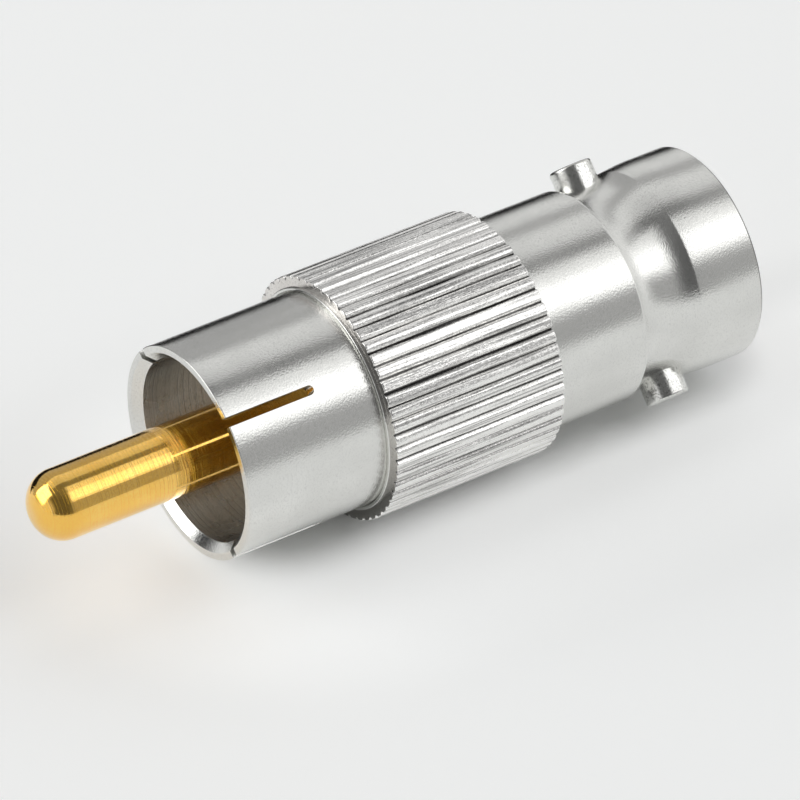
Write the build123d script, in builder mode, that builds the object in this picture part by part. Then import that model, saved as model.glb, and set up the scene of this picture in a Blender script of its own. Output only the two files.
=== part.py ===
"""Adapter from a bayonet coaxial jack to a phono plug, turned from brass bar.

The axis lies along X. X = 0 is the front face of the knurled collar, where the plug's pin and
sleeve begin. The plug points to -X and the jack opens to +X. The adapter lies on two teeth of
its collar, with +Z up. Lengths are in millimetres and angles, in degrees, turn about +X from +Y.
"""

import os
from math import atan, cos, radians, sin, tan

from build123d import *

# Jack: the barrel's front ring, bore and neck, and its two lugs
barrel_diameter = 9.65
jack_length = 10.9
jack_wall = 0.76
jack_bore_depth = 8.41
mouth_edge_break = 0.12
mouth_lead_in = 0.25
neck_depth = 0.305
neck_floor = 1.95
neck_rear_slope = 1.5
neck_front_slope = 2.0
lug_count = 2
lug_height = 0.675
lug_diameter = 1.95
lug_bevel = 0.15
lug_setback = 4.27
lug_angle = 45.0

# Collar
collar_height = 0.725
collar_length = 8.55
collar_bevel = 0.06
knurl_teeth = 55
knurl_depth = 0.18
knurl_groove_angle = 84.0
knurl_turn = 0.82
lip_width = 0.19
lip_thickness = 0.1
lip_lead_in = 0.06

# Plug
pin_diameter = 3.18
pin_reach = 14.66
pin_tip_round = 1.42
sleeve_diameter = 9.66
sleeve_wall = 0.7
sleeve_reach = 6.97
sleeve_bevel = 0.37
sleeve_root = 2.0
slot_count = 4
slot_width = 0.41
slot_length = 4.28
slot_angle = 131.3

# Socket contact
contact_bore = 1.36
contact_bore_depth = 4.5
contact_wall = 0.42
contact_lead_in = 0.15
contact_slot_width = 0.25
contact_slot_length = 4.0
contact_setback = 3.5
contact_flange_width = 0.8
contact_flange_thickness = 0.8
shank_diameter = 1.5
shank_reach = 4.0

# Insulators
insulator_flange_thickness = 1.0
dielectric_diameter = 4.72
dielectric_setback = 3.3
dielectric_edge_break = 0.2
dielectric_flange_width = 1.04
dielectric_flange_thickness = 1.5

# Clearances
press_gap = 0.005
slide_gap = 0.03
end_gap = 0.05

# Stations along X
mouth_x = collar_length + jack_length
bore_floor_x = mouth_x - jack_bore_depth
lug_x = mouth_x - lug_setback
neck_floor_start = lug_x - (neck_floor + neck_front_slope - neck_rear_slope) / 2
neck_floor_end = neck_floor_start + neck_floor
neck_start = neck_floor_start - neck_rear_slope
neck_end = neck_floor_end + neck_front_slope
rim_x = -sleeve_reach
insulator_end_x = sleeve_root + insulator_flange_thickness
dielectric_flange_end_x = insulator_end_x + dielectric_flange_thickness
dielectric_end_x = mouth_x - dielectric_setback
contact_end_x = mouth_x - contact_setback
contact_flange_end_x = insulator_end_x + contact_flange_thickness

# Radii
barrel_r = barrel_diameter / 2
jack_bore_r = barrel_r - jack_wall
neck_r = barrel_r - neck_depth
collar_r = barrel_r + collar_height
sleeve_r = sleeve_diameter / 2
sleeve_bore_r = sleeve_r - sleeve_wall
sleeve_seat_r = sleeve_r + press_gap
lip_r = sleeve_seat_r + lip_width
pin_r = pin_diameter / 2
contact_bore_r = contact_bore / 2
contact_r = contact_bore_r + contact_wall
contact_flange_r = contact_r + contact_flange_width
shank_r = shank_diameter / 2
dielectric_r = dielectric_diameter / 2
dielectric_flange_r = dielectric_r + dielectric_flange_width


def s_curve(start_x, start_r, end_x, end_r):
    """Two equal arcs that leave and arrive parallel to the axis."""
    rise = end_r - start_r
    run = end_x - start_x
    middle = ((start_x + end_x) / 2, (start_r + end_r) / 2)
    slope = 2 * atan(rise / run)
    TangentArc((start_x, start_r), middle, tangent=(1, 0))
    TangentArc(middle, (end_x, end_r), tangent=(cos(slope), sin(slope)))


def radial_plane(angle, x=0.0):
    """A plane whose normal points outwards from the axis at this angle, with X along the axis."""
    outward = Vector(0, cos(radians(angle)), sin(radians(angle)))
    return Plane(origin=(x, 0, 0), x_dir=(1, 0, 0), z_dir=outward)


lug_planes = [radial_plane(lug_angle + n * 360 / lug_count, lug_x) for n in range(lug_count)]

# Body: the collar and the jack's barrel, turned as one piece
dielectric_hole_r = dielectric_r + press_gap
dielectric_seat_r = dielectric_flange_r + press_gap
groove_r = collar_r - knurl_depth
groove_cut = 2 * knurl_depth
groove_mouth = groove_cut * tan(radians(knurl_groove_angle / 2))
knurl_start = knurl_turn - 90

with BuildPart() as jack_body:
    # Collar: a flat for each tooth's crest, and a V groove between each two teeth
    with BuildSketch(Plane.YZ):
        RegularPolygon(collar_r, knurl_teeth, major_radius=False, rotation=knurl_start)
    extrude(amount=collar_length)
    chamfer(jack_body.edges().filter_by(Axis.X, reverse=True), collar_bevel)
    with BuildSketch(Plane.YZ):
        with PolarLocations(groove_r, knurl_teeth, start_angle=knurl_start):
            Polygon((0, 0), (groove_cut, -groove_mouth), (groove_cut, groove_mouth), align=None)
    extrude(amount=collar_length, mode=Mode.SUBTRACT)

    # Barrel
    with BuildSketch(Plane.XZ):
        with BuildLine():
            Polyline(
                (neck_start, barrel_r),
                (0, barrel_r),
                (0, 0),
                (mouth_x, 0),
                (mouth_x, barrel_r - mouth_edge_break),
                (mouth_x - mouth_edge_break, barrel_r),
                (neck_end, barrel_r),
            )
            TangentArc((neck_start, barrel_r), (neck_floor_start, neck_r), tangent=(1, 0))
            Line((neck_floor_start, neck_r), (neck_floor_end, neck_r))
            s_curve(neck_floor_end, neck_r, neck_end, barrel_r)
        make_face()
    revolve(axis=Axis.X)

    # Lip round the sleeve
    with BuildSketch(Plane.YZ):
        Circle(lip_r)
    extrude(amount=-lip_thickness)

    # Bores from the plug's side and from the mouth
    with BuildSketch(Plane.XZ):
        Polygon(
            (-lip_thickness, 0),
            (-lip_thickness, sleeve_seat_r + lip_lead_in),
            (lip_lead_in - lip_thickness, sleeve_seat_r),
            (insulator_end_x, sleeve_seat_r),
            (insulator_end_x, dielectric_seat_r),
            (dielectric_flange_end_x, dielectric_seat_r),
            (dielectric_flange_end_x, dielectric_hole_r),
            (bore_floor_x, dielectric_hole_r),
            (bore_floor_x, jack_bore_r),
            (mouth_x - mouth_lead_in, jack_bore_r),
            (mouth_x, jack_bore_r + mouth_lead_in),
            (mouth_x, 0),
            align=None,
        )
    revolve(axis=Axis.X, mode=Mode.SUBTRACT)

    # Holes for the bayonet lugs
    with BuildSketch(*lug_planes):
        Circle(lug_diameter / 2 + press_gap)
    extrude(amount=collar_r, mode=Mode.SUBTRACT)

# Bayonet lugs: plain pins pressed through the barrel's wall
lug_foot_r = jack_bore_r + end_gap
lug_top_r = barrel_r + lug_height
lugs = []
for number, lug_plane in enumerate(lug_planes, start=1):
    with BuildPart() as bayonet_lug:
        with BuildSketch(lug_plane.offset(lug_foot_r)):
            Circle(lug_diameter / 2)
        extrude(amount=lug_top_r - lug_foot_r)
        outer_face = bayonet_lug.faces().sort_by(Axis(lug_plane.origin, lug_plane.z_dir))[-1]
        chamfer(outer_face.edges(), lug_bevel)
    bayonet_lug.part.label = f"bayonet_lug_{number}"
    lugs.append(bayonet_lug.part)

# Plug sleeve: a thin turned tube, pressed into the collar, with sawn spring slots
slot_end_r = slot_width / 2
slot_planes = [radial_plane(slot_angle + n * 360 / slot_count) for n in range(slot_count)]

with BuildPart() as phono_sleeve:
    with BuildSketch(Plane.XZ):
        Polygon(
            (rim_x, sleeve_bore_r + sleeve_bevel),
            (rim_x + sleeve_bevel, sleeve_bore_r),
            (sleeve_root, sleeve_bore_r),
            (sleeve_root, sleeve_r),
            (rim_x, sleeve_r),
            align=None,
        )
    revolve(axis=Axis.X)
    with BuildSketch(*slot_planes):
        with Locations((rim_x + (slot_length - slot_end_r) / 2, 0)):
            Rectangle(slot_length - slot_end_r, slot_width)
        with Locations((rim_x + slot_length - slot_end_r, 0)):
            Circle(slot_end_r)
    extrude(amount=collar_r, mode=Mode.SUBTRACT)

# Plug insulator: a bush that sits in the sleeve, with its flange behind the sleeve's end
insulator_r = sleeve_bore_r - press_gap
insulator_hole_r = shank_r + press_gap

with BuildPart() as phono_insulator:
    with BuildSketch(Plane.XZ):
        Polygon(
            (0, insulator_hole_r),
            (insulator_end_x, insulator_hole_r),
            (insulator_end_x, sleeve_r),
            (sleeve_root, sleeve_r),
            (sleeve_root, insulator_r),
            (0, insulator_r),
            align=None,
        )
    revolve(axis=Axis.X)

# Plug pin: its rear end seats on the insulator and holds the contact's shank
shank_hole_r = shank_r + press_gap
shank_hole_end = -(shank_reach + end_gap)

with BuildPart() as phono_pin:
    with BuildSketch(Plane.XZ):
        Polygon(
            (0, shank_hole_r),
            (0, pin_r),
            (-pin_reach, pin_r),
            (-pin_reach, 0),
            (shank_hole_end, 0),
            (shank_hole_end, shank_hole_r),
            align=None,
        )
    revolve(axis=Axis.X)
    tip_edge = phono_pin.edges().group_by(Axis.X)[0]
    fillet(tip_edge, pin_tip_round)

# Socket contact: shank, flange and a sprung socket for the mating plug's pin
with BuildPart() as socket_contact:
    with BuildSketch(Plane.XZ):
        Polygon(
            (-shank_reach, 0),
            (-shank_reach, shank_r),
            (insulator_end_x, shank_r),
            (insulator_end_x, contact_flange_r),
            (contact_flange_end_x, contact_flange_r),
            (contact_flange_end_x, contact_r),
            (contact_end_x, contact_r),
            (contact_end_x, contact_bore_r + contact_lead_in),
            (contact_end_x - contact_lead_in, contact_bore_r),
            (contact_end_x - contact_bore_depth, contact_bore_r),
            (contact_end_x - contact_bore_depth, 0),
            align=None,
        )
    revolve(axis=Axis.X)
    with BuildSketch(radial_plane(lug_angle)):
        with Locations((contact_end_x - contact_slot_length / 2, 0)):
            Rectangle(contact_slot_length, contact_slot_width)
    extrude(amount=2 * contact_r, both=True, mode=Mode.SUBTRACT)

# Jack dielectric: a stepped sleeve round the contact, trapped by its flange
contact_hole_r = contact_r + slide_gap
flange_recess_r = contact_flange_r + slide_gap

with BuildPart() as jack_dielectric:
    with BuildSketch(Plane.XZ):
        Polygon(
            (insulator_end_x, flange_recess_r),
            (contact_flange_end_x, flange_recess_r),
            (contact_flange_end_x, contact_hole_r),
            (dielectric_end_x, contact_hole_r),
            (dielectric_end_x, dielectric_r - dielectric_edge_break),
            (dielectric_end_x - dielectric_edge_break, dielectric_r),
            (dielectric_flange_end_x, dielectric_r),
            (dielectric_flange_end_x, dielectric_flange_r),
            (insulator_end_x, dielectric_flange_r),
            align=None,
        )
    revolve(axis=Axis.X)

jack_body.part.label = "jack_body"
phono_sleeve.part.label = "phono_sleeve"
phono_insulator.part.label = "phono_insulator"
phono_pin.part.label = "phono_pin"
socket_contact.part.label = "socket_contact"
jack_dielectric.part.label = "jack_dielectric"

os.makedirs("parts", exist_ok=True)
export_step(jack_body.part, "parts/jack_body.step")
export_step(phono_sleeve.part, "parts/phono_sleeve.step")
export_step(phono_insulator.part, "parts/phono_insulator.step")
export_step(phono_pin.part, "parts/phono_pin.step")
export_step(socket_contact.part, "parts/socket_contact.step")
export_step(jack_dielectric.part, "parts/jack_dielectric.step")
for lug in lugs:
    export_step(lug, f"parts/{lug.label}.step")
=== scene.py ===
"""Looks of the coaxial adapter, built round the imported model.

Lengths are in millimetres on the part's own axes, and become metres where a mesh is made.
Angles are in degrees, and round the part they go about +X, from +Y towards +Z.
The plug points to -X, the jack to +X.
"""

import random
from math import asin, cos, hypot, pi, radians, sin, sqrt, tan

import bmesh
import bpy
from mathutils import Matrix, Vector, noise


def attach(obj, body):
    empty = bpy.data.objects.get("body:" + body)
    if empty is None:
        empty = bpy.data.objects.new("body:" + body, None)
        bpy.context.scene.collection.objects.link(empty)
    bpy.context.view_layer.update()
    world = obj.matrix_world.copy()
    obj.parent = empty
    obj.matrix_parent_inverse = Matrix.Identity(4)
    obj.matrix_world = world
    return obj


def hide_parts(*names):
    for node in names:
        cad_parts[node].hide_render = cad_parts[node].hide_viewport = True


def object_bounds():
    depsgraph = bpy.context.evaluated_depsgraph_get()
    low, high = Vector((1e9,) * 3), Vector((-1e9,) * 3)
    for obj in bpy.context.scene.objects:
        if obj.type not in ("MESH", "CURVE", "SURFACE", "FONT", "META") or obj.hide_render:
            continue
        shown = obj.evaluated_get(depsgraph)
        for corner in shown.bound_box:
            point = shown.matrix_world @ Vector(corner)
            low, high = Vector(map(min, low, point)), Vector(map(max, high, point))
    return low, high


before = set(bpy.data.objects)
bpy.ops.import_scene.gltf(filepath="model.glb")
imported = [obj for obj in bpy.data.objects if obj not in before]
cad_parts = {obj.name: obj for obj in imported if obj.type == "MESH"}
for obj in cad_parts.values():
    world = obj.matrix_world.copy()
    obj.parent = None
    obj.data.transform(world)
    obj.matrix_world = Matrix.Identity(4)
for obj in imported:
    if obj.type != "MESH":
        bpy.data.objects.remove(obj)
cad_low, cad_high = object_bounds()

MM = 0.001
weld_distance = 2e-4
sharp_angle = 18

# Jack
barrel_r = 4.825
mouth_x = 19.45
jack_wall = 0.76
jack_bore_r = barrel_r - jack_wall
bore_floor_x = mouth_x - 8.41
mouth_edge_break = 0.12
mouth_edge_round = 0.06
mouth_lead_in = 0.25
bore_floor_round = 0.1
neck_depth = 0.445
neck_curve = 3.1
neck_front_rise = 0.335
neck_front_slope = 1.5
neck_rear_round = 0.3
neck_front_round = 0.4
neck_setback = 4.56
lug_x = mouth_x - 4.27
lug_top_r = 5.5
lug_r = 0.975
lug_round = 0.13
lug_foot_r = jack_bore_r + 0.05
lug_foot_round = 0.05
lug_angles = (45.0, 225.0)

# Collar
collar_r = 5.55
collar_length = 8.55
collar_bevel = 0.06
knurl_teeth = 55
knurl_depth = 0.18
knurl_groove_angle = 84.0
knurl_turn = 0.82
lip_r = 5.025
lip_thickness = 0.1
lip_lead_in = 0.06
lip_inner_round = 0.02
lip_outer_round = 0.04

# Unevenness of the knurl: each crest is crowned or hollow, and each groove has its own depth
crown_range = (0.008, 0.03)
crown_limit = 1.6
crown_sink_range = (0, 0.01)
hollow_range = (-0.012, 0.0)
hollow_sink_range = (0.012, 0.022)
groove_share_range = (0.85, 1.1)
valley_wander = 0.035
valley_round = 0.02
crest_wave = 0.008
crest_grain = 0.006
crest_sink = 0.002
crest_round = 0.035
tooth_end_share = 0.8

# Plug
pin_r = 1.59
pin_reach = 14.66
pin_tip_round = 1.42
pin_rear_round = 0.02
shank_hole_r = 0.755
shank_hole_end = -4.05
sleeve_r = 4.83
sleeve_bore_r = 4.13
sleeve_seat_r = 4.835
sleeve_reach = 6.97
sleeve_bevel = 0.37
sleeve_bore_round = 0.03
sleeve_rim_round = 0.04
sleeve_root = 2.0
slot_count = 4
slot_half_width = 0.205
slot_length = 4.28
slot_angle = 131.3
slot_edge_round = 0.025
slot_edge_fade = 0.3
slot_end_tolerance = 1e-5

# Inside of the body
insulator_end_x = 3.0
dielectric_seat_r = 3.405
dielectric_flange_end_x = 4.5
dielectric_hole_r = 2.365
seat_round = 0.03

# Floor, its glow and the painted shadow round the part
floor_half = 4000
shadow_middle = 8.1
shadow_half = 10.1
side_glow_level = 0.155
far_glow_level = 0.13

# Camera: a long lens, as the photograph's
camera_azimuth = 33.6
camera_elevation = 36.84
camera_distance = 340.4
camera_lens = 360
camera_aim = Vector((2.60, -1.77, -0.05))


# Paths and meshes


def rounded(corners, steps=8):
    """Points of a closed path through (x, r, radius) corners, each turned with its own radius."""
    points = []
    for n, (x, r, radius) in enumerate(corners):
        corner = Vector((x, r))
        if radius == 0:
            points.append((x, r))
            continue
        before = (Vector(corners[n - 1][:2]) - corner).normalized()
        after = (Vector(corners[(n + 1) % len(corners)][:2]) - corner).normalized()
        half_angle = before.angle(after) / 2
        centre = corner + (before + after).normalized() * radius / sin(half_angle)
        reach = radius / tan(half_angle)
        start = corner + before * reach - centre
        sweep = start.angle_signed(corner + after * reach - centre)
        for step in range(steps + 1):
            turn = Matrix.Rotation(-sweep * step / steps, 2)
            points.append(tuple(centre + turn @ start))
    return points


def make_piece(name, vertices, faces, materials, replaced):
    """A piece of the object from millimetre vertices, smooth except at its sharp edges."""
    mesh = bpy.data.meshes.new(name)
    mesh.from_pydata([Vector(v) * MM for v in vertices], [], faces)
    bm = bmesh.new()
    bm.from_mesh(mesh)
    bmesh.ops.remove_doubles(bm, verts=bm.verts, dist=weld_distance * MM)
    bmesh.ops.recalc_face_normals(bm, faces=bm.faces)
    bm.to_mesh(mesh)
    bm.free()
    mesh.shade_smooth()
    mesh.set_sharp_from_angle(angle=radians(sharp_angle))
    for material in materials:
        mesh.materials.append(material)
    piece = bpy.data.objects.new(name, mesh)
    bpy.context.scene.collection.objects.link(piece)
    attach(piece, "root")
    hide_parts(replaced)
    return piece


def turned(section, columns):
    """Vertices and faces of a closed section of (x, r) points turned about the X axis."""
    vertices = []
    rings = []
    for x, r in section:
        first = len(vertices)
        if r < 1e-6:
            vertices.append((x, 0, 0))
            rings.append([first] * columns)
            continue
        for k in range(columns):
            angle = 2 * pi * k / columns
            vertices.append((x, r * cos(angle), r * sin(angle)))
        rings.append([first + k for k in range(columns)])
    faces = []
    for near, far in zip(rings, rings[1:] + rings[:1]):
        for k in range(columns):
            n = (k + 1) % columns
            corners = list(dict.fromkeys((near[k], near[n], far[n], far[k])))
            if len(corners) > 2:
                faces.append(corners)
    return vertices, faces


def paint_faces(piece, index, wanted):
    """Gives the faces that pass this test the piece's material of this index."""
    for polygon in piece.data.polygons:
        if wanted(polygon):
            polygon.material_index = index


def paint_bore(piece, bore_r):
    """Gives the faces on this bore, or nearer the axis, the piece's second material."""
    margin = 0.02
    limit = (bore_r + margin) * MM
    paint_faces(piece, 1, lambda face: hypot(face.center.y, face.center.z) < limit)


# Shader nodes


class Tree:
    """Adds nodes to a node tree, with their sockets given by name as values or as other sockets."""

    def __init__(self, tree):
        self.tree = tree
        tree.nodes.clear()

    def add(self, kind, sockets=None, **settings):
        node = self.tree.nodes.new(kind)
        for key, value in settings.items():
            setattr(node, key, value)
        for key, value in (sockets or {}).items():
            if isinstance(value, bpy.types.NodeSocket):
                self.tree.links.new(value, node.inputs[key])
            else:
                node.inputs[key].default_value = value
        return node

    def noise(self, coords, size, detail=2.0, scales=None):
        """Noise with features of this size in millimetres, with each axis scaled first if asked."""
        if scales:
            coords = self.add("ShaderNodeMapping", {"Vector": coords, "Scale": scales}).outputs[0]
        sockets = {"Vector": coords, "Scale": 1 / (size * MM), "Detail": detail}
        return self.add("ShaderNodeTexNoise", sockets).outputs["Fac"]

    def remap(self, value, low, high, to_low=0.0, to_high=1.0, ramp="LINEAR"):
        """A value moved from one range to another and held inside it."""
        sockets = {"Value": value, "From Min": low, "From Max": high, "To Min": to_low, "To Max": to_high}
        return self.add("ShaderNodeMapRange", sockets, interpolation_type=ramp).outputs[0]

    def fade(self, length, low, high, to_low=0.0, to_high=1.0):
        """A smooth change between two lengths in millimetres."""
        return self.remap(length, low * MM, high * MM, to_low, to_high, "SMOOTHSTEP")

    def bump(self, height, depth, normal=None):
        """A bump of this depth in millimetres."""
        sockets = {"Height": height, "Distance": depth * MM, "Strength": 1.0}
        if normal:
            sockets["Normal"] = normal
        return self.add("ShaderNodeBump", sockets).outputs[0]

    def math(self, operation, first, second=0.0):
        """The result of one operation on two values."""
        return self.add("ShaderNodeMath", {0: first, 1: second}, operation=operation).outputs[0]

    def mix(self, factor, first, second):
        """A blend of two colours."""
        node = self.add("ShaderNodeMix", data_type="RGBA")
        for index, value in ((0, factor), (6, first), (7, second)):
            if isinstance(value, bpy.types.NodeSocket):
                self.tree.links.new(value, node.inputs[index])
            else:
                node.inputs[index].default_value = value
        return node.outputs[2]


# Materials


def grey(level):
    """A grey colour of this level."""
    return (level, level, level, 1)


def new_material(name):
    """A material with an empty node tree."""
    material = bpy.data.materials.new(name)
    material.use_nodes = True
    return material, Tree(material.node_tree)


def plated_metal(
    name,
    light,
    dark,
    roughness,
    grain_depth,
    worn_share=0.0,
    ring_depth=0.0,
    line_share=0.0,
    line_depth=0.0,
    finishes=(),
):
    """Plated turned metal: a fine grain, worn specks, turning rings and lines, and patches."""
    material, tree = new_material(name)
    coords = tree.add("ShaderNodeTexCoord").outputs["Object"]
    grain = tree.noise(coords, 1.0, 3.0, (1 / 0.05, 1 / 0.09, 1 / 0.09))
    specks = tree.noise(coords, 1.0, 2.0, (1 / 0.06, 1 / 0.1, 1 / 0.1))
    rings = tree.noise(coords, 1.0, 4.0, (1 / 0.16, 0.02, 0.02))
    patches = tree.noise(coords, 1.8, 3.0)
    tint = tree.mix(tree.remap(patches, 0.35, 0.65), (*dark, 1), (*light, 1))
    worn = tuple(channel * (1 - worn_share) for channel in dark)
    tint = tree.mix(tree.remap(specks, 0.52, 0.66), tint, (*worn, 1))
    lines = tree.remap(tree.noise(coords, 1.0, 4.0, (1 / 0.07, 0.006, 0.006)), 0.5, 0.62)
    line_tint = tuple(channel * (1 - line_share) for channel in dark)
    tint = tree.mix(lines, tint, (*line_tint, 1))
    dullness = tree.remap(patches, 0.35, 0.65, roughness + 0.03, roughness - 0.03)
    normal = tree.bump(rings, ring_depth, tree.bump(grain, grain_depth))
    normal = tree.bump(lines, line_depth, normal)
    sockets = {"Base Color": tint, "Metallic": 1.0, "Roughness": dullness, "Normal": normal}
    shader = tree.add("ShaderNodeBsdfPrincipled", sockets)
    tree.add("ShaderNodeOutputMaterial", {"Surface": shader.outputs[0]})
    for finish in finishes:
        finish(tree, shader)
    return material


def multiply_tint(tree, shader, level):
    """Multiplies a shader's colour by this level."""
    tint = shader.inputs["Base Color"].links[0].from_socket
    factor = tree.add("ShaderNodeCombineColor", {"Red": level, "Green": level, "Blue": level}).outputs[0]
    shaded = tree.add("ShaderNodeMix", data_type="RGBA", blend_type="MULTIPLY")
    shaded.inputs[0].default_value = 1.0
    tree.tree.links.new(tint, shaded.inputs[6])
    tree.tree.links.new(factor, shaded.inputs[7])
    tree.tree.links.new(shaded.outputs[2], shader.inputs["Base Color"])


def scratch_teeth(tree, shader):
    """Draws fine scratches and dull streaks along the teeth."""
    coords = tree.add("ShaderNodeTexCoord").outputs["Object"]
    scratches = tree.noise(coords, 1.0, 3.0, (1 / 2.5, 1 / 0.045, 1 / 0.045))
    nicks = tree.noise(coords, 1.0, 2.0, (1 / 0.12, 1 / 0.06, 1 / 0.06))
    scratch_depth = 0.0035
    nick_depth = 0.004
    normal = tree.bump(scratches, scratch_depth, shader.inputs["Normal"].links[0].from_socket)
    nicks = tree.remap(nicks, 0.52, 0.62)
    tree.tree.links.new(tree.bump(nicks, nick_depth, normal), shader.inputs["Normal"])
    streaks = tree.noise(coords, 1.0, 3.0, (1 / 5.0, 1 / 0.1, 1 / 0.1))
    streak_level = 0.5
    multiply_tint(tree, shader, tree.remap(streaks, 0.5, 0.64, 1.0, streak_level))


def paint_groove_shade(tree, shader):
    """Paints shade into the plating towards the bottom of the knurl's grooves."""
    coords = tree.add("ShaderNodeTexCoord").outputs["Object"]
    across = tree.add("ShaderNodeVectorMath", {0: coords, 1: (0, 1, 1)}, operation="MULTIPLY").outputs[0]
    radius = tree.add("ShaderNodeVectorMath", {0: across}, operation="LENGTH").outputs["Value"]
    groove_bottom = (collar_r - knurl_depth) * MM
    groove_shade_level = 0.15
    dark_up_to = groove_bottom + 0.015 * MM
    unshaded_from = groove_bottom + 0.08 * MM
    multiply_tint(tree, shader, tree.remap(radius, dark_up_to, unshaded_from, groove_shade_level, 1.0))


def paint_low_side_shade(tree, shader):
    """Paints shade into the plating downwards, from 2 mm over the axis to 2 mm under it."""
    coords = tree.add("ShaderNodeTexCoord").outputs["Object"]
    height = tree.add("ShaderNodeSeparateXYZ", {"Vector": coords}).outputs["Z"]
    low_side_shade_level = 0.42
    multiply_tint(tree, shader, tree.remap(height, -2 * MM, 2 * MM, low_side_shade_level, 1.0))


def coat_gold(tree, shader):
    """Lays a clear glossy coat over the gold, for its whiter highlights."""
    shader.inputs["Coat Weight"].default_value = 1.0
    shader.inputs["Coat Roughness"].default_value = 0.1
    shader.inputs["Coat IOR"].default_value = 1.75


def turned_plastic(name, light, dark, roughness):
    """Plain plastic with faint turning rings."""
    material, tree = new_material(name)
    coords = tree.add("ShaderNodeTexCoord").outputs["Object"]
    rings = tree.noise(coords, 1.0, 3.0, (1 / 0.08, 2.0, 2.0))
    patches = tree.noise(coords, 0.8, 2.0)
    tint = tree.mix(tree.remap(patches, 0.35, 0.65), (*dark, 1), (*light, 1))
    normal = tree.bump(rings, 0.002)
    sockets = {"Base Color": tint, "Roughness": roughness, "Normal": normal}
    shader = tree.add("ShaderNodeBsdfPrincipled", sockets)
    tree.add("ShaderNodeOutputMaterial", {"Surface": shader.outputs[0]})
    return material


satin_nickel = plated_metal(
    "satin_nickel",
    (0.77, 0.77, 0.745),
    (0.73, 0.73, 0.705),
    roughness=0.17,
    grain_depth=0.008,
    worn_share=0.08,
)
face_nickel = plated_metal(
    "face_nickel",
    (0.80, 0.78, 0.755),
    (0.70, 0.67, 0.64),
    roughness=0.2,
    grain_depth=0.004,
    worn_share=0.2,
    ring_depth=0.003,
    # Painted shade: the end faces darken on their low side.
    finishes=[paint_low_side_shade],
)
knurl_nickel = plated_metal(
    "knurl_nickel",
    (0.98, 0.975, 0.95),
    (0.93, 0.92, 0.90),
    roughness=0.14,
    grain_depth=0.003,
    worn_share=0.12,
    # Painted shade darkens the grooves towards their bottom; the streaks along the teeth are wear.
    finishes=[scratch_teeth, paint_groove_shade],
)
bore_nickel = plated_metal(
    "bore_nickel",
    (0.94, 0.92, 0.89),
    (0.80, 0.78, 0.75),
    roughness=0.26,
    grain_depth=0.004,
    worn_share=0.2,
    ring_depth=0.012,
    line_share=0.3,
    line_depth=0.003,
)
# Dark nickel for the mouth's edge break: painted shade, not the plating's own colour.
shaded_edge_nickel = plated_metal(
    "shaded_edge_nickel",
    (0.5, 0.49, 0.47),
    (0.06, 0.06, 0.055),
    roughness=0.3,
    grain_depth=0.006,
)
bright_nickel = plated_metal(
    "bright_nickel",
    (0.82, 0.82, 0.80),
    (0.70, 0.70, 0.67),
    roughness=0.2,
    grain_depth=0.005,
    worn_share=0.4,
)
polished_gold = plated_metal(
    "polished_gold",
    (1.0, 0.61, 0.1),
    (0.98, 0.55, 0.055),
    roughness=0.08,
    grain_depth=0.001,
    worn_share=0.08,
    ring_depth=0.004,
    line_share=0.06,
    line_depth=0.003,
    finishes=[coat_gold],
)
white_plastic = turned_plastic("white_plastic", (0.88, 0.87, 0.82), (0.84, 0.83, 0.77), roughness=0.45)


# Barrel: everything of the body but the knurled collar


def neck_path():
    """Corners of the outer line from the collar to the mouth's ring, with the bayonet's round groove."""
    waist_x = mouth_x - neck_setback
    rear_reach = sqrt(neck_curve**2 - (neck_curve - neck_depth) ** 2)
    front_reach = sqrt(neck_curve**2 - (neck_curve - neck_front_rise) ** 2)
    steps = 32
    path = []
    for n in range(steps + 1):
        x = -rear_reach + (rear_reach + front_reach) * n / steps
        path.append((waist_x + x, barrel_r - neck_depth + neck_curve - sqrt(neck_curve**2 - x**2), 0))
    path[0] = (*path[0][:2], neck_rear_round)
    path[-1] = (*path[-1][:2], neck_front_round)
    drop = neck_depth - neck_front_rise
    slope_r = (neck_front_slope**2 + drop**2) / (2 * drop)
    slope_end = waist_x + front_reach + neck_front_slope
    slope_steps = 8
    for n in range(1, slope_steps + 1):
        x = neck_front_slope * (1 - n / slope_steps)
        path.append((slope_end - x, barrel_r - slope_r + sqrt(slope_r**2 - x**2), 0))
    return path


def make_barrel():
    corners = [
        (-lip_thickness, sleeve_seat_r + lip_lead_in, lip_inner_round),
        (-lip_thickness, lip_r, lip_outer_round),
        (collar_bevel, lip_r, 0),
        (collar_bevel, barrel_r, 0),
        *neck_path(),
        (mouth_x - mouth_edge_break, barrel_r, mouth_edge_round),
        (mouth_x, barrel_r - mouth_edge_break, mouth_edge_round),
        (mouth_x, jack_bore_r + mouth_lead_in, seat_round),
        (mouth_x - mouth_lead_in, jack_bore_r, seat_round),
        (bore_floor_x, jack_bore_r, bore_floor_round),
        (bore_floor_x, dielectric_hole_r, seat_round),
        (dielectric_flange_end_x, dielectric_hole_r, seat_round),
        (dielectric_flange_end_x, dielectric_seat_r, seat_round),
        (insulator_end_x, dielectric_seat_r, seat_round),
        (insulator_end_x, sleeve_seat_r, seat_round),
        (lip_lead_in - lip_thickness, sleeve_seat_r, 0),
    ]
    vertices, faces = turned(rounded(corners), columns=288)
    metals = [satin_nickel, bore_nickel, shaded_edge_nickel]
    piece = make_piece("jack_barrel", vertices, faces, metals, "jack_body")
    paint_bore(piece, jack_bore_r)
    edge_start = (mouth_x - mouth_edge_break) * MM

    def on_edge_break(face):
        return face.center.x > edge_start and face.normal.x < 0.9 and face.material_index == 0

    # The mouth's edge break is painted dark with shade.
    paint_faces(piece, 2, on_edge_break)


# Collar: straight knurl, with both ends of each tooth rounded over


def soft_max(a, b, softness):
    """The larger of two values, with the corner between them rounded off."""
    blend = max(0.0, softness - abs(a - b)) / softness
    return max(a, b) + blend * blend * softness / 4


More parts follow.
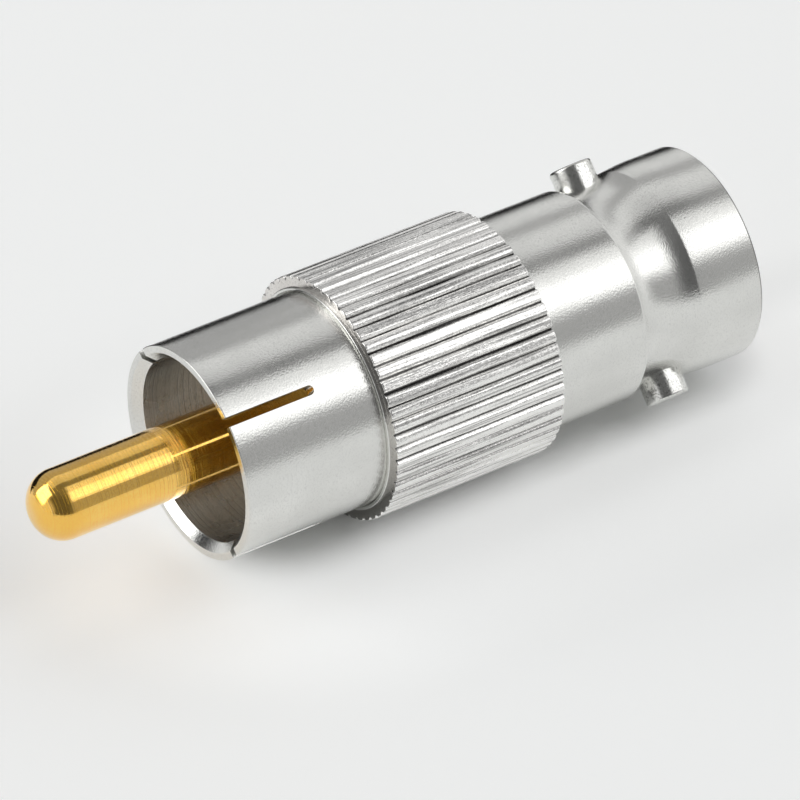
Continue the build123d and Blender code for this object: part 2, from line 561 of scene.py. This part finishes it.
def make_collar():
    rng = random.Random(5)
    pitch = 2 * pi * collar_r / knurl_teeth
    mouth = knurl_depth * tan(radians(knurl_groove_angle / 2))
    crest = pitch - 2 * mouth
    shares = [0, 0.04, 0.12, 0.3, 0.55, 0.8, 0.92, 1.0]
    side = [mouth * share for share in shares]
    steps = side + [mouth + crest * n / 8 for n in range(1, 8)] + [pitch - s for s in reversed(side[1:])]

    crowns = []
    for _ in range(knurl_teeth):
        crowns.append(rng.choice((rng.uniform(*crown_range), rng.uniform(*hollow_range))))
    sinks = [rng.uniform(*(hollow_sink_range if crown < 0 else crown_sink_range)) for crown in crowns]
    deeps = [knurl_depth * rng.uniform(*groove_share_range) for _ in range(knurl_teeth)]

    def tooth_depth(s, x, tooth):
        """Depth below the crest circle across one tooth, from valley to valley.

        Each noise runs along the tooth and has its own place for each tooth.
        """
        wander = valley_wander * noise.noise(Vector((x * 0.35, 9.1 * tooth, 0)))
        fine = noise.noise(Vector((x * 2.6, 5.3 * tooth, s * 9)))
        across = 2 * (s - pitch / 2) / crest
        crown = crowns[tooth] + crest_wave * noise.noise(Vector((x * 0.8, 3.7 * tooth, 4)))
        crest_depth = sinks[tooth] + crown * min(across * across, crown_limit)
        crest_depth += crest_grain * abs(fine)
        crest_depth += crest_sink
        left = deeps[tooth] * (1 - (s - wander) / mouth)
        right = deeps[(tooth + 1) % knurl_teeth] * (1 - (pitch - s + wander) / mouth)
        return soft_max(crest_depth, soft_max(left, right, valley_round), crest_round)

    end_steps = 5
    ends = [collar_bevel * (1 - cos(pi / 2 * n / end_steps)) for n in range(end_steps + 1)]
    rows = 56
    middle = [collar_bevel + (collar_length - 2 * collar_bevel) * n / rows for n in range(1, rows)]
    stations = ends + middle + [collar_length - x for x in reversed(ends)]

    def tooth_end(x):
        """How far the rounded end of a tooth drops at this station."""
        inward = max(0.0, 1 - min(x, collar_length - x) / collar_bevel)
        return collar_bevel * (1 - sqrt(max(0.0, 1 - inward * inward)))

    vertices = []
    rings = []
    inner_r = barrel_r - 0.05
    middle_r = barrel_r + 0.4

    def add_ring(x, radius_of):
        rings.append(len(vertices))
        for tooth in range(knurl_teeth):
            for s in steps[:-1]:
                angle = radians(knurl_turn - 90) + (tooth * pitch + s) / collar_r
                r = radius_of(s, tooth)
                vertices.append((x, r * cos(angle), r * sin(angle)))

    add_ring(0, lambda s, tooth: inner_r)
    add_ring(0, lambda s, tooth: middle_r)
    for x in stations:
        drop = tooth_end_share * tooth_end(x)
        add_ring(x, lambda s, tooth: collar_r - max(tooth_depth(s, x, tooth), 0) - drop)
    add_ring(collar_length, lambda s, tooth: middle_r)
    add_ring(collar_length, lambda s, tooth: inner_r)
    faces = []
    count = knurl_teeth * (len(steps) - 1)
    for near, far in zip(rings, rings[1:] + rings[:1]):
        for k in range(count):
            n = (k + 1) % count
            faces.append((near + k, near + n, far + n, far + k))
    metals = [knurl_nickel, face_nickel]
    piece = make_piece("knurled_collar", vertices, faces, metals, "jack_body")
    paint_faces(piece, 1, lambda face: abs(face.normal.x) > 0.9)


# Lugs


def make_lug(number, angle):
    corners = [
        (lug_foot_r, 0, 0),
        (lug_foot_r, lug_r, lug_foot_round),
        (lug_top_r, lug_r, lug_round),
        (lug_top_r, 0, 0),
    ]
    vertices, faces = turned(rounded(corners, steps=6), columns=72)
    outward = Matrix.Rotation(radians(angle), 3, "X") @ Matrix.Rotation(radians(90), 3, "Z")
    vertices = [outward @ Vector(v) + Vector((lug_x, 0, 0)) for v in vertices]
    name = f"bayonet_lug_{number}"
    make_piece(f"{name}_bright", vertices, faces, [bright_nickel], name)


# Sleeve: a tube with four slots, each with a round end


def slot_at(x):
    """Half the slot's width at this station, and nothing from its round end on."""
    past = x - (slot_length - sleeve_reach - slot_half_width)
    if past <= 0:
        return slot_half_width
    if past > slot_half_width - slot_end_tolerance:
        return 0.0
    return sqrt(slot_half_width**2 - past**2)


def make_sleeve():
    rim_x = -sleeve_reach
    bevel_end = rim_x + sleeve_bevel
    shoulder = bevel_end + 0.1
    slot_end = rim_x + slot_length
    round_steps = 10
    stations = [shoulder + (slot_end - slot_half_width - shoulder) * n / 8 for n in range(9)]
    for n in range(1, round_steps + 1):
        stations.append(slot_end - slot_half_width * (1 - sin(pi / 2 * n / round_steps)))
    stations += [slot_end + (sleeve_root - slot_end) * n / 6 for n in range(1, 7)]
    rim = rounded(
        [
            (sleeve_root, sleeve_bore_r, 0),
            (bevel_end, sleeve_bore_r, sleeve_bore_round),
            (rim_x, sleeve_bore_r + sleeve_bevel, sleeve_rim_round),
            (rim_x, sleeve_r, sleeve_rim_round),
            (sleeve_root, sleeve_r, 0),
        ]
    )[1:-1]
    inner = [(x, sleeve_bore_r) for x in reversed(stations)]
    outer = [(x, sleeve_r) for x in stations]
    section = [Vector(point) for point in inner + rim + outer]
    edge_drops = [(0.0, 1.0), (0.1, 0.45), (0.3, 0.12), (0.6, 0.02), (1.0, 0.0)]
    across = 72

    vertices = []
    sectors = []
    for quarter in range(slot_count):
        middle = slot_angle + 360 / slot_count * (quarter + 0.5)
        rows = []
        for n, (x, r) in enumerate(section):
            along = section[min(n + 1, len(section) - 1)] - section[max(n - 1, 0)]
            outward = Vector((-along.y, along.x)).normalized()
            drop = slot_edge_round * min(1, slot_at(x) / (slot_edge_fade * slot_half_width))
            half = pi / slot_count - asin(slot_at(x) / r)
            edge = slot_edge_round / r
            spans = [(edge * share, drop * depth) for share, depth in edge_drops]
            spans += [(edge + (half - edge) * k / (across / 2), 0.0) for k in range(1, across // 2)]
            spans += [(half, 0.0)] + [(2 * half - turn, depth) for turn, depth in reversed(spans)]
            rows.append(len(vertices))
            for turn, depth in spans:
                point = section[n] - outward * depth
                angle = radians(middle) - half + turn
                vertices.append((point.x, point.y * cos(angle), point.y * sin(angle)))
        sectors.append(rows)
    last_column = len(spans) - 1

    faces = []
    count = len(stations)
    last = len(section) - 1
    for rows in sectors:
        for near, far in zip(rows, rows[1:] + rows[:1]):
            for k in range(last_column):
                faces.append((near + k, near + k + 1, far + k + 1, far + k))
        # Slot walls: one face at the rim, then quads between the bore and the outside
        for k in (0, last_column):
            faces.append([rows[n] + k for n in range(count - 1, last - count + 2)])
            for n in range(count - 1):
                if slot_at(stations[n]) > 0:
                    inside, outside = count - 1 - n, last - count + 1 + n
                    corners = (inside, outside, outside + 1, inside - 1)
                    faces.append([rows[corner] + k for corner in corners])
    metals = [satin_nickel, bore_nickel]
    piece = make_piece("slotted_sleeve", vertices, faces, metals, "phono_sleeve")
    paint_bore(piece, sleeve_bore_r)


# Pin


def make_pin():
    corners = [
        (0, shank_hole_r, 0),
        (0, pin_r, pin_rear_round),
        (-pin_reach, pin_r, pin_tip_round),
        (-pin_reach, 0, 0),
        (shank_hole_end, 0, 0),
        (shank_hole_end, shank_hole_r, 0),
    ]
    vertices, faces = turned(rounded(corners, steps=20), columns=144)
    make_piece("gold_pin", vertices, faces, [polished_gold], "phono_pin")


make_barrel()
make_collar()
for lug_number, lug_angle in enumerate(lug_angles, start=1):
    make_lug(lug_number, lug_angle)
make_sleeve()
make_pin()

# The pieces inside are seen as their solids, in these materials
for node_name, node_material in (
    ("phono_insulator", white_plastic),
    ("jack_dielectric", white_plastic),
    ("socket_contact", polished_gold),
):
    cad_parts[node_name].material_slots[0].material = node_material


# Floor


def pale_floor():
    """A pale floor that gives off light where it is seen away from the part, with a painted shadow round
    the part where the glow is held back and a band of painted light beside it.
    """
    material, tree = new_material("pale_floor")
    rays = tree.add("ShaderNodeLightPath").outputs
    seen = tree.math("ADD", rays["Is Camera Ray"], rays["Is Glossy Ray"])
    seen = tree.math("ADD", seen, rays["Is Transmission Ray"])
    coords = tree.add("ShaderNodeTexCoord").outputs["Object"]
    place = tree.add("ShaderNodeSeparateXYZ", {"Vector": coords}).outputs
    past_middle = tree.math("ABSOLUTE", tree.math("SUBTRACT", place["X"], shadow_middle * MM))
    past_end = tree.math("MAXIMUM", tree.math("SUBTRACT", past_middle, shadow_half * MM))
    off_part = tree.add("ShaderNodeCombineXYZ", {"X": past_end, "Y": place["Y"]}).outputs[0]
    off_part = tree.add("ShaderNodeVectorMath", {0: off_part}, operation="LENGTH").outputs["Value"]
    # Painted shadow: the glow is held back within 1.8 mm of the part and grows to full by 4.6 mm, so the
    # floor darkens round it.
    edge_glow = tree.fade(off_part, 1.8, 4.6)
    # Painted light: more glow in a band 6 to 14 mm from the part, left out only past the jack's end on
    # the far side from the camera.
    side_glow = tree.fade(off_part, 6, 14, side_glow_level, 0.0)
    before_jack = tree.fade(place["X"], 13, 21, 1.0, 0.0)
    camera_side = tree.fade(place["Y"], 3, -1)
    side_glow = tree.math("MULTIPLY", side_glow, tree.math("MAXIMUM", before_jack, camera_side))
    glow = tree.math("MULTIPLY", tree.math("ADD", side_glow, far_glow_level), edge_glow)
    diffuse = tree.add("ShaderNodeBsdfDiffuse", {"Color": (0.96, 0.97, 0.965, 1)}).outputs[0]
    light = tree.add("ShaderNodeEmission", {"Strength": tree.math("MULTIPLY", seen, glow)}).outputs[0]
    shader = tree.add("ShaderNodeAddShader", {0: diffuse, 1: light}).outputs[0]
    tree.add("ShaderNodeOutputMaterial", {"Surface": shader})
    return material


def stage_rectangle(name, corners, material):
    """A flat staging surface from four corners in metres."""
    mesh = bpy.data.meshes.new(name)
    mesh.from_pydata(corners, [], [(0, 1, 2, 3)])
    mesh.materials.append(material)
    surface = bpy.data.objects.new(name, mesh)
    bpy.context.scene.collection.objects.link(surface)
    return surface


def make_floor():
    half = floor_half * MM
    corners = [(-half, -half, 0), (half, -half, 0), (half, half, 0), (-half, half, 0)]
    floor = stage_rectangle("floor", corners, pale_floor())
    floor.location.z = cad_low.z


make_floor()


# Studio light: long softboxes over the part, and a square one on the plug's side


def softbox(name, corners, radiance):
    """A flat rectangular lamp that faces the part, from three of its corners in millimetres."""
    start, along, up = (Vector(corner) for corner in corners)
    centre = (along + up) / 2
    lamp = bpy.data.lights.new(name, "AREA")
    lamp.shape = "RECTANGLE"
    lamp.size = (along - start).length * MM
    lamp.size_y = (up - start).length * MM
    lamp.energy = radiance * pi * lamp.size * lamp.size_y
    side = (along - start).normalized()
    upward = (up - start).normalized()
    back = side.cross(upward)
    if back.dot(centre) < 0:
        side, back = -side, -back
    turn = Matrix((side, upward, back)).transposed().to_4x4()
    lamp_object = bpy.data.objects.new(name, lamp)
    lamp_object.matrix_world = Matrix.Translation(centre * MM) @ turn
    bpy.context.scene.collection.objects.link(lamp_object)


def strip_softbox(name, angle, spread, along, radiance, distance=500):
    """A softbox along X over the part: its angle and spread about X, and its reach along X."""
    towards = Vector((0, cos(radians(angle)), sin(radians(angle)))) * distance
    half = Vector((0, -sin(radians(angle)), cos(radians(angle)))) * distance * tan(radians(spread / 2))
    low_x, high_x = (distance * tan(radians(limit)) for limit in along)
    start = towards - half + Vector((low_x, 0, 0))
    softbox(name, (start, start + Vector((high_x - low_x, 0, 0)), start + 2 * half), radiance)


def square_softbox(name, angle, lean, spread, radiance, distance=500):
    """A square softbox whose middle lies at this angle about X, leaning this far towards +X."""
    level = cos(radians(lean))
    middle = Vector((sin(radians(lean)), level * cos(radians(angle)), level * sin(radians(angle))))
    side = Vector((0, 0, 1)).cross(middle).normalized()
    up = middle.cross(side)
    half = distance * tan(radians(spread / 2))
    start = middle * distance - (side + up) * half
    softbox(name, (start, start + side * 2 * half, start + up * 2 * half), radiance)


strip_softbox("front_softbox", angle=122, spread=50, along=(6, 66), radiance=0.72)
strip_softbox("front_softbox_core", angle=128, spread=26, along=(6, 66), radiance=0.5)
strip_softbox("rear_softbox", angle=64, spread=32, along=(-24, 60), radiance=0.4)
square_softbox("left_softbox", angle=52, lean=-50, spread=42, radiance=2.2)


# Cards behind the part, seen only in its reflections: a black one and a white one


def reflected_card(name, y, along, heights, level):
    """An upright card at this y, with its reach along X, its heights and its brightness."""
    material, tree = new_material(name)
    shader = tree.add("ShaderNodeEmission", {"Color": grey(level), "Strength": 1.0})
    tree.add("ShaderNodeOutputMaterial", {"Surface": shader.outputs[0]})
    (left, right), (bottom, top) = along, heights
    corners = ((left, y, bottom), (right, y, bottom), (right, y, top), (left, y, top))
    card = stage_rectangle(name, [Vector(corner) * MM for corner in corners], material)
    card.visible_camera = False
    card.visible_diffuse = False
    card.visible_shadow = False
    card.visible_transmission = False


reflected_card("black_card", y=14, along=(-20, 60), heights=(-1.8, 3.9), level=0.012)
reflected_card("white_card", y=56, along=(32, 200), heights=(8, 38), level=0.78)


# Room: grey walls all round the part


def make_world():
    """The walls, by direction: dark behind the camera, dim above and bright past both ends."""
    world = bpy.data.worlds.new("studio")
    bpy.context.scene.world = world
    world.use_nodes = True
    tree = Tree(world.node_tree)
    direction = tree.add("ShaderNodeTexCoord").outputs["Generated"]
    parts = tree.add("ShaderNodeSeparateXYZ", {"Vector": direction}).outputs
    jack_side = tree.remap(parts["X"], -0.02, 0.14)
    near_side = tree.remap(parts["Y"], 0.15, -0.15)
    top = tree.remap(parts["Z"], 0.75, 0.95)
    plug_end = tree.remap(parts["X"], -0.8, -0.92)
    jack_end = tree.remap(parts["X"], 0.82, 0.9)
    wall = grey(0.44)
    dark_wall = grey(0.13)
    ceiling = grey(0.2)
    plug_end_wall = grey(0.85)
    jack_end_wall = grey(0.95)
    room = tree.mix(near_side, wall, tree.mix(jack_side, dark_wall, wall))
    room = tree.mix(top, room, ceiling)
    room = tree.mix(plug_end, room, plug_end_wall)
    room = tree.mix(jack_end, room, jack_end_wall)
    background = tree.add("ShaderNodeBackground", {"Color": room, "Strength": 1.0})
    tree.add("ShaderNodeOutputWorld", {"Surface": background.outputs[0]})


make_world()


# Camera


def make_camera():
    """The camera at its distance from the aim, on the photograph's side."""
    camera = bpy.data.cameras.new("camera")
    camera.sensor_width = 36
    camera.lens = camera_lens
    camera.clip_start = 0.01
    level = cos(radians(camera_elevation))
    away = Vector(
        (
            -sin(radians(camera_azimuth)) * level,
            -cos(radians(camera_azimuth)) * level,
            sin(radians(camera_elevation)),
        )
    )
    camera_object = bpy.data.objects.new("camera", camera)
    camera_object.location = (camera_aim + away * camera_distance) * MM
    camera_object.rotation_mode = "QUATERNION"
    camera_object.rotation_quaternion = (-away).to_track_quat("-Z", "Y")
    bpy.context.scene.collection.objects.link(camera_object)
    bpy.context.scene.camera = camera_object


make_camera()

bpy.context.scene.view_settings.view_transform = "Standard"
